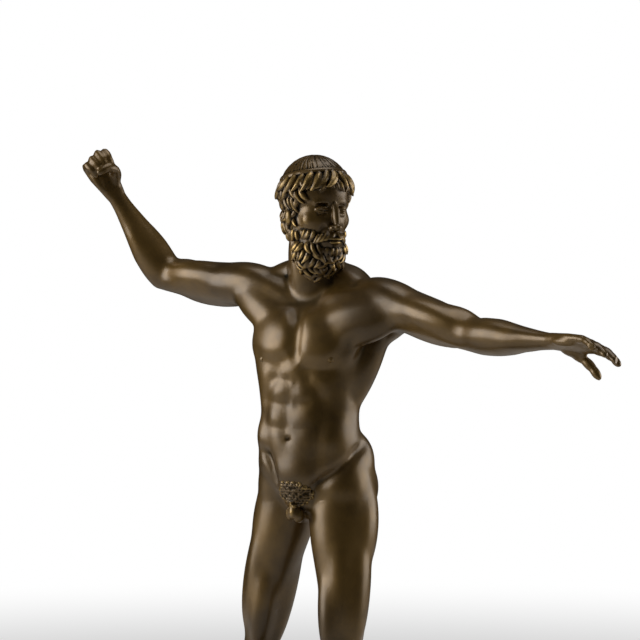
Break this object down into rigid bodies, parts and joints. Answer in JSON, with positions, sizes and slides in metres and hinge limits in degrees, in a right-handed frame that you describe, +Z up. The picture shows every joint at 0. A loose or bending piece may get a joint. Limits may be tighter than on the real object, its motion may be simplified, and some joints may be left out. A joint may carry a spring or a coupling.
{
  "type": "zeus statue",
  "caption": "Bronze statuette of a bearded god standing with both arms spread, the head turned to its left, on a low stone plinth.",
  "frame": {"origin": "middle of the plinth's underside", "axes": "+Z up, the figure's chest faces -Y and its left hand points to +X"},
  "size_m": [0.4673, 0.165, 0.5458],
  "materials": {
    "bronze": "cast bronze with an olive-brown patina, satin, rubbed to gold on the high points of hair and beard",
    "stone": "black stone, honed"
  },
  "bodies": {
    "root": {"figure": "bronze", "plinth": "stone"}
  },
  "joints": []
}
